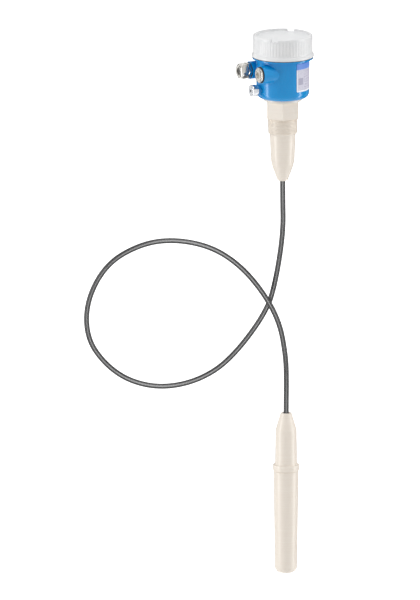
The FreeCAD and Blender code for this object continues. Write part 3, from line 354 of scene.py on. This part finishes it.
bpy.ops.mesh.select_non_manifold()
bpy.ops.mesh.fill_holes(sides=4)
bpy.ops.mesh.select_all(action="SELECT")
bpy.ops.mesh.normals_make_consistent(inside=False)
bpy.ops.object.mode_set(mode="OBJECT")
slimming = ridge.modifiers.new("slimming", "SIMPLE_DEFORM")
slimming.deform_method = "TAPER"
slimming.deform_axis = "Z"
slimming.factor = THREAD_TAPER / THREAD_RADIUS * ridge.dimensions.z
bpy.ops.object.modifier_apply(modifier="slimming")

thread_root = THREAD_RADIUS - THREAD_DEPTH
tip_root = thread_tip - THREAD_DEPTH
thread = turned_piece("thread", [
    (tip_root - 0.0001, THREAD_END - 0.001), (tip_root, THREAD_END), (thread_root, 0),
    (thread_root, 2 * OVERLAP),
])
worked(thread, "UNION", ridge)
worked(thread, "INTERSECT", turned_piece("envelope", [
    (NOSE_RADIUS, NOSE_END), (thread_tip, THREAD_END), (THREAD_RADIUS, 0), (THREAD_RADIUS, 2 * OVERLAP),
]))
hexagon = hexagon_bar("hexagon", HEXAGON_FLATS, 0, HEXAGON_HEIGHT + OVERLAP)
worked(hexagon, "INTERSECT", turned_piece("corners", [
    (HEXAGON_CORNERS - HEXAGON_CHAMFER, 0), (HEXAGON_CORNERS, 0.6 * HEXAGON_CHAMFER),
    (HEXAGON_CORNERS, HEXAGON_HEIGHT + OVERLAP),
]))
connection = turned_piece("process_connection_body", [
    (SPIGOT_RADIUS, SPIGOT_END), (SPIGOT_RADIUS, NOSE_END + 0.001), (CORE_RADIUS, NOSE_END + 0.001),
    (CORE_RADIUS, HEXAGON_HEIGHT), (COLLAR_RADIUS - COLLAR_EDGE, HEXAGON_HEIGHT),
    (COLLAR_RADIUS, HEXAGON_HEIGHT + COLLAR_EDGE), (COLLAR_RADIUS, COLLAR_TOP - COLLAR_EDGE),
    (COLLAR_RADIUS - COLLAR_EDGE, COLLAR_TOP), (SEAL_GROOVE_OUTER, COLLAR_TOP),
    (SEAL_GROOVE_OUTER, SEAL_GROOVE_FLOOR), (SEAL_GROOVE_INNER, SEAL_GROOVE_FLOOR),
    (SEAL_GROOVE_INNER, COLLAR_TOP), (TOP_SPIGOT_RADIUS, COLLAR_TOP), (TOP_SPIGOT_RADIUS, TOP_SPIGOT_END),
])
worked(connection, "UNION", hexagon)
worked(connection, "UNION", thread)
worked(connection, "UNION", turned_piece("nose", [
    (NOSE_RADIUS, NOSE_END), (tip_root, THREAD_END - 0.0004),
]))
worked(connection, "DIFFERENCE", turned_piece("rod_hole", [
    (ROD_HOLE_RADIUS, -0.05), (ROD_HOLE_RADIUS, 0.06),
], 32))
finished(connection, cream, "cream_plastic", "body", "process_connection")

# Housing: a round cast drum with two cable bosses and an earthing boss, in glossy blue enamel
# over a fine cast skin. The black ring under it seals it to the connection's collar.


def finish_node(name, finish):
    """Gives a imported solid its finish."""
    node[name].data.materials.clear()
    node[name].data.materials.append(finish)


def plain_finish(name, roughness, low, high, spots, grain_spots, grain_depth, metallic=0.0):
    """A finish of two near colours over a fine grain, with its shader for what else it needs."""
    finish, tree, shader, place = new_finish(name, roughness, metallic)
    tree.links.new(mottled(tree, place, low, high, spots), shader.inputs["Base Color"])
    grain(tree, shader, place, grain_spots, grain_depth)
    return finish, shader


enamel, shader = plain_finish(
    "blue_enamel", 0.26, paint(4, 140, 208), paint(12, 147, 214), 45, 380, 0.00004,
)
shader.inputs["Specular IOR Level"].default_value = 0.25
shader.inputs["Coat Weight"].default_value = 0.4
shader.inputs["Coat Roughness"].default_value = 0.12
finish_node("housing", enamel)
rubber, shader = plain_finish(
    "black_rubber", 0.6, paint(18, 18, 20), paint(30, 30, 32), 300, 1800, 0.00004,
)
for name in ("cover_seal", "gland_washer", "plug_seal", "neck_seal"):
    finish_node(name, rubber)

# Electronics: a black potted block on three posts, with green terminals, white controls and two
# green lights. Its screws, the contact rod and the ferrules are turned from stainless steel.
potting, shader = plain_finish(
    "potting_resin", 0.4, paint(22, 22, 24), paint(34, 34, 36), 200, 1500, 0.00004,
)
finish_node("electronic_insert", potting)
green, shader = plain_finish(
    "terminal_green", 0.4, paint(36, 120, 62), paint(42, 130, 68), 200, 1500, 0.00003,
)
finish_node("terminal_block", green)
control, shader = plain_finish(
    "control_white", 0.45, paint(228, 228, 222), paint(238, 238, 232), 200, 1500, 0.00003,
)
finish_node("sensitivity_trimmer", control)
finish_node("failsafe_switch", control)
lens, tree, shader, place = new_finish("led_lens", 0.12)
lens_green = mottled(tree, place, paint(60, 190, 80), paint(80, 205, 100), 400)
tree.links.new(lens_green, shader.inputs["Base Color"])
shader.inputs["Transmission Weight"].default_value = 0.6
finish_node("status_leds", lens)
steel, shader = plain_finish(
    "stainless_steel", 0.24, paint(206, 208, 212), paint(222, 224, 228), 250, 2200, 0.00001, 1.0,
)
for name in (
    "contact_rod", "upper_ferrule", "lower_ferrule", "weight_core", "insert_screws", "terminal_screws",
    "inner_earth_screw", "earth_clamp",
):
    finish_node(name, steel)

# Name plate: thin foil bent round the drum and glued down, with a pale border, a violet-blue head
# band and a silver-grey field, which has a plain box at its left and is ruled across.
PLATE_MIDDLE = math.radians(-10.65)
PLATE_RADIUS = 0.0422
FIELD_HALF_WIDTH = 0.0334
FIELD_MIDDLE = 0.0667
FIELD_HALF_HEIGHT = 0.0167
BAND_BOTTOM = 0.0836
LINE_SPACING = 0.0042
LINE_WIDTH = 0.0012


def overlaid(tree, under, over, mask):
    """One colour laid over another where the mask is 1."""
    mix = tree.nodes.new("ShaderNodeMix")
    mix.data_type = "RGBA"
    share, under_colour, over_colour = mix.inputs[0], mix.inputs[6], mix.inputs[7]
    mixed_colour = mix.outputs[2]
    tree.links.new(mask, share)
    for socket, colour in ((under_colour, under), (over_colour, over)):
        if isinstance(colour, tuple):
            socket.default_value = colour
        else:
            tree.links.new(colour, socket)
    return mixed_colour


plate_finish, tree, shader, place = new_finish("name_plate", 0.5)
axes = tree.nodes.new("ShaderNodeSeparateXYZ")
tree.links.new(drawn_out(tree, place, (1, 1, 1), turn=PLATE_MIDDLE), axes.inputs["Vector"])
height = axes.outputs["Z"]
angle = reckoned(tree, "ARCTAN2", axes.outputs["Y"], axes.outputs["X"])
across = reckoned(tree, "MULTIPLY", angle, PLATE_RADIUS)
field_width = reckoned(tree, "COMPARE", across, 0, FIELD_HALF_WIDTH)
field_height = reckoned(tree, "COMPARE", height, FIELD_MIDDLE, FIELD_HALF_HEIGHT)
field = reckoned(tree, "MULTIPLY", field_width, field_height)
head_band = reckoned(tree, "GREATER_THAN", height, BAND_BOTTOM)
to_line = reckoned(tree, "PINGPONG", height, LINE_SPACING / 2)
ruled = reckoned(tree, "LESS_THAN", to_line, LINE_WIDTH / 2)
right_column = reckoned(tree, "COMPARE", across, 0.006, 0.0255)
left_column = reckoned(tree, "COMPARE", across, -0.027, 0.005)
breaks = tree.nodes.new("ShaderNodeTexNoise")
breaks.inputs["Scale"].default_value = 1
tree.links.new(drawn_out(tree, place, (0.0016, 0.0016, 0.004)), breaks.inputs["Vector"])
broken = reckoned(tree, "GREATER_THAN", breaks.outputs["Fac"], 0.48)
broken_lines = reckoned(tree, "MULTIPLY", reckoned(tree, "MULTIPLY", ruled, broken), right_column)
rows = reckoned(tree, "MULTIPLY", broken_lines, field)
box_height = reckoned(tree, "COMPARE", height, 0.0645, 0.0055)
box = reckoned(tree, "MULTIPLY", left_column, box_height)
foil_marks = drawn_out(tree, place, (0.004, 0.004, 0.0012))
silver = mottled(tree, foil_marks, paint(190, 188, 204), paint(214, 212, 225), 1)
shade = overlaid(tree, paint(236, 237, 242), silver, field)
shade = overlaid(tree, shade, paint(164, 161, 182), rows)
shade = overlaid(tree, shade, paint(168, 166, 186), box)
shade = overlaid(tree, shade, paint(98, 142, 220), head_band)
tree.links.new(shade, shader.inputs["Base Color"])
finish_node("name_plate", plate_finish)

# Cable gland and blanking plug: brass, turned and milled, then nickel plated. The cap nut is a
# hexagon with a domed nose that closes a grey rubber sleeve on the cable, and the plug has a low
# domed head with a turned groove and a hexagon socket for its key.
HEAD_TURN = math.radians(26.5)
ENTRY_FACE = 0.049
ENTRY_SIDE = 0.0205
ENTRY_AXIS = 0.077
NUT_FLATS = 0.023
NUT_START = 0.0072
NUT_END = 0.0197
PLUG_KEY_FLATS = 0.01


def seat_on_head_side(piece, reach, across, height):
    """Stands a piece that is modelled along Z on the side of the head that the entries face."""
    picked(piece)
    spot = Matrix.Rotation(HEAD_TURN, 4, "Z") @ Vector((-reach, across, height))
    facing = Matrix.Rotation(HEAD_TURN, 4, "Z") @ Matrix.Rotation(math.radians(-90), 4, "Y")
    piece.matrix_world = Matrix.Translation(spot) @ facing
    bpy.ops.object.transform_apply(location=True, rotation=True, scale=True)


nickel, tree, shader, place = new_finish("nickel_plate", 0.16, 1.0)
gland_spot = Matrix.Rotation(HEAD_TURN, 4, "Z") @ Vector((-ENTRY_FACE, ENTRY_SIDE, ENTRY_AXIS))
turning_marks = drawn_out(tree, place, (0.0007, 0.02, 0.02), gland_spot, HEAD_TURN)
plating = mottled(tree, turning_marks, paint(200, 198, 192), paint(218, 215, 209), 1)
tree.links.new(plating, shader.inputs["Base Color"])
grain(tree, shader, turning_marks, 1, 0.000004)
gland_nut = hexagon_bar("gland_cap_nut", NUT_FLATS, NUT_START, NUT_END)
worked(gland_nut, "INTERSECT", turned_piece("dome", [
    (0.0129, NUT_START), (0.0134, NUT_START + 0.0006), (0.0134, 0.0146), (0.0131, 0.0156),
    (0.0125, 0.0167), (0.0117, 0.0178), (0.0107, 0.0187), (0.0095, 0.0194), (0.0082, NUT_END),
]))
worked(gland_nut, "DIFFERENCE", turned_piece("nut_bore", [
    (0.0099, 0.006), (0.0099, 0.0164), (0.0062, 0.0164), (0.0062, 0.019), (0.0072, 0.0201),
]))
seat_on_head_side(gland_nut, ENTRY_FACE, ENTRY_SIDE, ENTRY_AXIS)
finished(gland_nut, nickel, "nickel_plate", "gland_nut", "gland_nut")
plug = turned_piece("blanking_plug_body", [
    (0.0098, -0.009), (0.0098, 0.0014), (0.0119, 0.0014), (0.012, 0.0016), (0.012, 0.0041),
    (0.0117, 0.0046), (0.0111, 0.0049), (0.0097, 0.0051), (0.0093, 0.0046), (0.0088, 0.0046),
    (0.0084, 0.0051), (0.0072, 0.0053), (0.006, 0.0054),
])
worked(plug, "DIFFERENCE", hexagon_bar("key_socket", PLUG_KEY_FLATS, 0.0024, 0.007))
seat_on_head_side(plug, ENTRY_FACE, -ENTRY_SIDE, ENTRY_AXIS)
finished(plug, nickel, "nickel_plate", "body", "blanking_plug")
for name in ("gland_body", "gland_slip_ring", "housing_lock_nut", "contact_nut"):
    finish_node(name, nickel)
grey_rubber, shader = plain_finish(
    "grey_rubber", 0.6, paint(112, 112, 112), paint(128, 128, 128), 300, 1800, 0.00004,
)
finish_node("gland_seal_insert", grey_rubber)

# Outer earth terminal: a stainless steel screw with a high round head and a hexagon socket, which
# presses the earth wire under a clamp washer on its own boss.
EARTH_FACE = 0.0459
EARTH_AXIS = 0.048
EARTH_KEY_FLATS = 0.0042
earth_screw = turned_piece("outer_earth_screw", [
    (0.003, -0.006), (0.003, 0.0028), (0.0092, 0.0028), (0.0095, 0.0031), (0.0095, 0.0089),
    (0.0093, 0.0097), (0.0088, 0.0103), (0.008, 0.0108), (0.007, 0.011),
])
worked(earth_screw, "DIFFERENCE", hexagon_bar("key_socket", EARTH_KEY_FLATS, 0.007, 0.012))
seat_on_head_side(earth_screw, EARTH_FACE, 0, EARTH_AXIS)
finished(earth_screw, steel, "stainless_steel", "body", "earth_screw")

# Cover: a screw cap moulded in off-white plastic, with a lip at its foot, a softly ribbed side
# for the grip, and a rim with two notches for a wrench round its sunk top.
COVER_BOTTOM = 0.0997
COVER_TOP = 0.135
COVER_SIDE = 0.0474
COVER_LIP = 0.0496
COVER_BORE = 0.0448
COVER_FLOOR = 0.1306
RIB_COUNT = 60
RIB_DEPTH = 0.0005
RIBS_BOTTOM = 0.107
RIBS_TOP = 0.1298
NOTCH_WIDTH = 0.012
NOTCH_HEIGHT = 0.01
COVER_TURN = math.radians(-17)
NEAR = 0.0001
cap_plastic, tree, shader, place = new_finish("cover_plastic", 0.3)
axes = tree.nodes.new("ShaderNodeSeparateXYZ")
tree.links.new(place, axes.inputs["Vector"])
dish = reckoned(tree, "COMPARE", axes.outputs["Z"], COVER_FLOOR, 0.0003)
moulded = mottled(tree, place, paint(223, 224, 225), paint(230, 230, 230), 60)
tree.links.new(overlaid(tree, moulded, paint(226, 227, 228), dish), shader.inputs["Base Color"])
grain(tree, shader, place, 1500, 0.00002)
cap = turned_piece("cover_cap", [
    (COVER_BORE - 0.0008, 0.1276), (COVER_BORE, 0.1268), (COVER_BORE, COVER_BOTTOM + 0.0006),
    (COVER_BORE + 0.0006, COVER_BOTTOM), (COVER_LIP - 0.0005, COVER_BOTTOM),
    (COVER_LIP, COVER_BOTTOM + 0.0005), (COVER_LIP, COVER_BOTTOM + 0.003),
    (COVER_LIP - 0.0003, COVER_BOTTOM + 0.0036), (COVER_SIDE + 0.0004, 0.1052), (COVER_SIDE, 0.1058),
    (COVER_SIDE, 0.1064), (COVER_SIDE, RIBS_BOTTOM), (COVER_SIDE, RIBS_TOP), (COVER_SIDE, 0.1305),
    (COVER_SIDE, 0.1324), (COVER_SIDE - 0.0002, 0.1334), (COVER_SIDE - 0.0008, 0.1342),
    (COVER_SIDE - 0.0016, 0.1348), (COVER_SIDE - 0.0026, COVER_TOP), (0.0427, COVER_TOP),
    (0.0422, COVER_TOP - 0.0004), (0.042, COVER_FLOOR + 0.0008), (0.0412, COVER_FLOOR),
], 6 * RIB_COUNT)
for share, turns in ((1.0, (0,)), (0.45, (-1, 1))):
    picked(cap)
    bpy.ops.object.mode_set(mode="EDIT")
    bpy.ops.mesh.select_all(action="DESELECT")
    bpy.ops.object.mode_set(mode="OBJECT")
    for point in cap.data.vertices:
        step = round(math.degrees(math.atan2(point.co.y, point.co.x)) * RIB_COUNT / 60)
        at_grip = RIBS_BOTTOM - NEAR < point.co.z < RIBS_TOP + NEAR
        on_side = math.hypot(point.co.x, point.co.y) > COVER_SIDE - NEAR
        point.select = at_grip and on_side and any((step - turn) % 6 == 0 for turn in turns)
    bpy.ops.object.mode_set(mode="EDIT")
    inset = 1 - share * RIB_DEPTH / COVER_SIDE
    bpy.ops.transform.resize(value=(inset, inset, 1), center_override=(0, 0, 0))
    bpy.ops.object.mode_set(mode="OBJECT")
bpy.ops.object.select_all(action="DESELECT")
bpy.ops.mesh.primitive_cube_add(
    size=1, scale=(NOTCH_WIDTH, 0.12, NOTCH_HEIGHT),
    location=(0, 0, COVER_FLOOR + 0.00005 + NOTCH_HEIGHT / 2),
)
worked(cap, "DIFFERENCE", bpy.context.object)
cap.rotation_euler = (0, 0, COVER_TURN)
picked(cap)
bpy.ops.object.transform_apply(location=True, rotation=True, scale=True)
finished(cap, cap_plastic, "cover_plastic", "cover", "cover")

# Probe sleeve: a tapered sleeve of the same cream plastic, screwed over the connection's spigot.
# It guides the rope to the ferrule inside.
finish_node("probe_sleeve", cream)

# Rope: a steel rope in a smooth dark sheath, gripped in the sleeve and in the weight. It is
# stiff, so under the light weight it keeps the one wide loop in which it was coiled. A tall lamp
# that lights nothing else draws the long streak that the smooth sheath shows.
ROPE_DIAMETER = 0.0084
SLEEVE_MOUTH = -0.1026
rope_route = [
    (0, 0, 30.5), (0, 0, -27.5), (1.2, 1, -83.5), (-10, 6.5, -161.5), (-25, 7.5, -216.5),
    (-82.5, 6, -294), (-132, 4, -327), (-189.5, 3, -339.8), (-243, 2, -329), (-283.5, 1, -300),
    (-312, 0, -256.5), (-312, -1, -196), (-280, -2, -135.3), (-226, -3, -103.5),
    (-174, -4, -95.3), (-116.5, -5, -106), (-71, -6.5, -134), (-33, -7.5, -177.5),
    (-5, -7, -228.5), (5.2, -5, -285.5), (6.3, -1, -325.5), (5.8, 0, -369.5), (5.8, 0, -412.5),
]
rope_curve = bpy.data.curves.new("rope_sheath", "CURVE")
rope_curve.dimensions = "3D"
rope_line = rope_curve.splines.new("NURBS")
rope_line.points.add(len(rope_route) - 1)
for point, (x, y, z) in zip(rope_line.points, rope_route):
    point.co = (x / 1000, y / 1000, SLEEVE_MOUTH + z / 1000, 1)
rope_line.order_u = 3
rope_line.use_endpoint_u = True
rope_curve.resolution_u = 24
rope_curve.bevel_depth = ROPE_DIAMETER / 2
rope_curve.bevel_resolution = 10
rope_curve.use_fill_caps = True
rope = bpy.data.objects.new("rope_sheath", rope_curve)
bpy.context.scene.collection.objects.link(rope)
sheath, shader = plain_finish("rope_sheath", 0.34, paint(31, 31, 32), paint(39, 39, 40), 220, 700, 0.00001)
rope.data.materials.append(sheath)
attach(rope, "body")
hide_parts("probe_rope")

rope_lamp = soft_lamp("rope_lamp", 400, 2.3, 4.8, (0.1, -3.5, 0.8), (-0.1, 0, 0.8))
rope_lamp.visible_diffuse = False
rope_only = bpy.data.collections.new("rope_only")
rope_only.objects.link(rope)
rope_lamp.light_linking.receiver_collection = rope_only

# Weight: a cone and a long hollow cylinder turned from the cream plastic, screwed together over a
# steel core. A collar with a fine groove under it ends the cylinder at the top.
WEIGHT_AXIS = 0.0058
WEIGHT_TOP = -0.5661
WEIGHT_BOTTOM = -0.7431
WEIGHT_BORE = 0.014
WEIGHT_BORE_END = -0.7311
FOOT_ROUND = 0.009
FOOT_RADIUS = 0.0178
finish_node("weight_sleeve", cream)
foot = []
for quarter in range(7):
    slope = math.radians(15 * quarter)
    foot_radius = FOOT_RADIUS - FOOT_ROUND * (1 - math.cos(slope))
    foot.append((foot_radius, WEIGHT_BOTTOM + FOOT_ROUND * (1 - math.sin(slope))))
weight = turned_piece("weight_cylinder", [
    (WEIGHT_BORE, WEIGHT_BORE_END), (WEIGHT_BORE, WEIGHT_TOP), (0.0203, WEIGHT_TOP),
    (0.0208, -0.5663), (0.021, -0.5668), (0.021, -0.5747), (0.0208, -0.5752), (0.0203, -0.5754),
    (0.0195, -0.5759), (0.0195, -0.5764), (0.01995, -0.5771), *foot,
])
weight.location = (WEIGHT_AXIS, 0, 0)
picked(weight)
bpy.ops.object.transform_apply(location=True, rotation=True, scale=True)
finished(weight, cream, "cream_plastic", "body", "weight_body")
